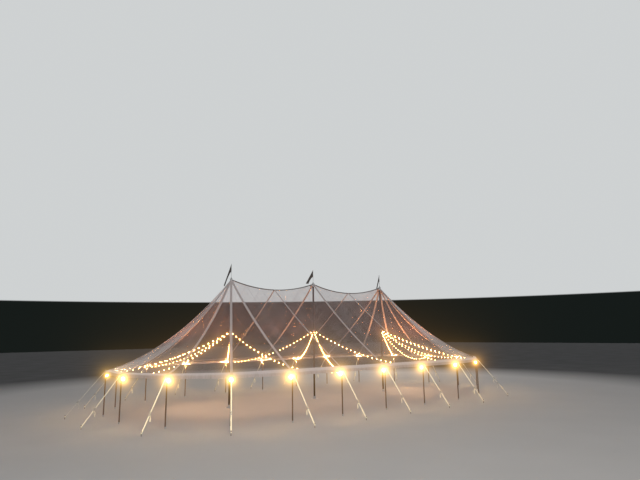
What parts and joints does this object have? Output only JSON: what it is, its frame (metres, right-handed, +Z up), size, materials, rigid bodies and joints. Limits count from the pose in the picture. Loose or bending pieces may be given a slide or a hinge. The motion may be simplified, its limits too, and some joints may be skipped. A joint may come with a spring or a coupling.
{
  "type": "clear-top pole tent",
  "caption": "Long peaked marquee with a clear film roof, rounded ends, side poles, strap guys, pennants and festoon strings under the roof.",
  "frame": {"origin": "on the ground in the middle of the plan, under the centre mast", "axes": "+X along the ridge towards the right-hand mast, -Y towards the front, +Z up"},
  "size_m": [28.836, 17.072, 8.3873],
  "materials": {
    "base_steel": "hot-dip galvanised",
    "mast_timber": "dark stained and varnished",
    "pole_timber": "oiled timber with worn ends",
    "clear_film": "clear flexible vinyl, slightly hazy",
    "white_webbing": "woven polyester strap, stitched",
    "eave_vinyl": "white coated cloth with straps",
    "crown_steel": "galvanised collar and staff",
    "pennant_cloth": "charcoal woven polyester",
    "string_cable": "black flexible cable"
  },
  "bodies": {
    "root": {"bay_webs_left": "white_webbing", "bay_webs_right": "white_webbing", "crown_centre": "crown_steel", "crown_left": "crown_steel", "crown_right": "crown_steel", "eave_back": "eave_vinyl", "eave_front": "eave_vinyl", "eave_left_end": "eave_vinyl", "eave_right_end": "eave_vinyl", "mast_centre": "mast_timber", "mast_foot_centre": "base_steel", "mast_foot_left": "base_steel", "mast_foot_right": "base_steel", "mast_left": "mast_timber", "mast_right": "mast_timber", "pennant_centre": "pennant_cloth", "pennant_left": "pennant_cloth", "pennant_right": "pennant_cloth", "roof_back_left": "clear_film", "roof_back_right": "clear_film", "roof_front_left": "clear_film", "roof_front_right": "clear_film", "roof_left_end": "clear_film", "roof_right_end": "clear_film", "side_pole_back_1": "pole_timber", "side_pole_back_2": "pole_timber", "side_pole_back_3": "pole_timber", "side_pole_back_4": "pole_timber", "side_pole_back_5": "pole_timber", "side_pole_front_1": "pole_timber", "side_pole_front_2": "pole_timber", "side_pole_front_3": "pole_timber", "side_pole_front_4": "pole_timber", "side_pole_front_5": "pole_timber", "side_pole_left_1": "pole_timber", "side_pole_left_2": "pole_timber", "side_pole_left_3": "pole_timber", "side_pole_left_4": "pole_timber", "side_pole_left_5": "pole_timber", "side_pole_left_6": "pole_timber", "side_pole_right_1": "pole_timber", "side_pole_right_2": "pole_timber", "side_pole_right_3": "pole_timber", "side_pole_right_4": "pole_timber", "side_pole_right_5": "pole_timber", "side_pole_right_6": "pole_timber", "string_lights_centre": "string_cable", "string_lights_left": "string_cable", "string_lights_right": "string_cable", "webs_centre": "white_webbing", "webs_left": "white_webbing", "webs_right": "white_webbing"}
  },
  "joints": []
}
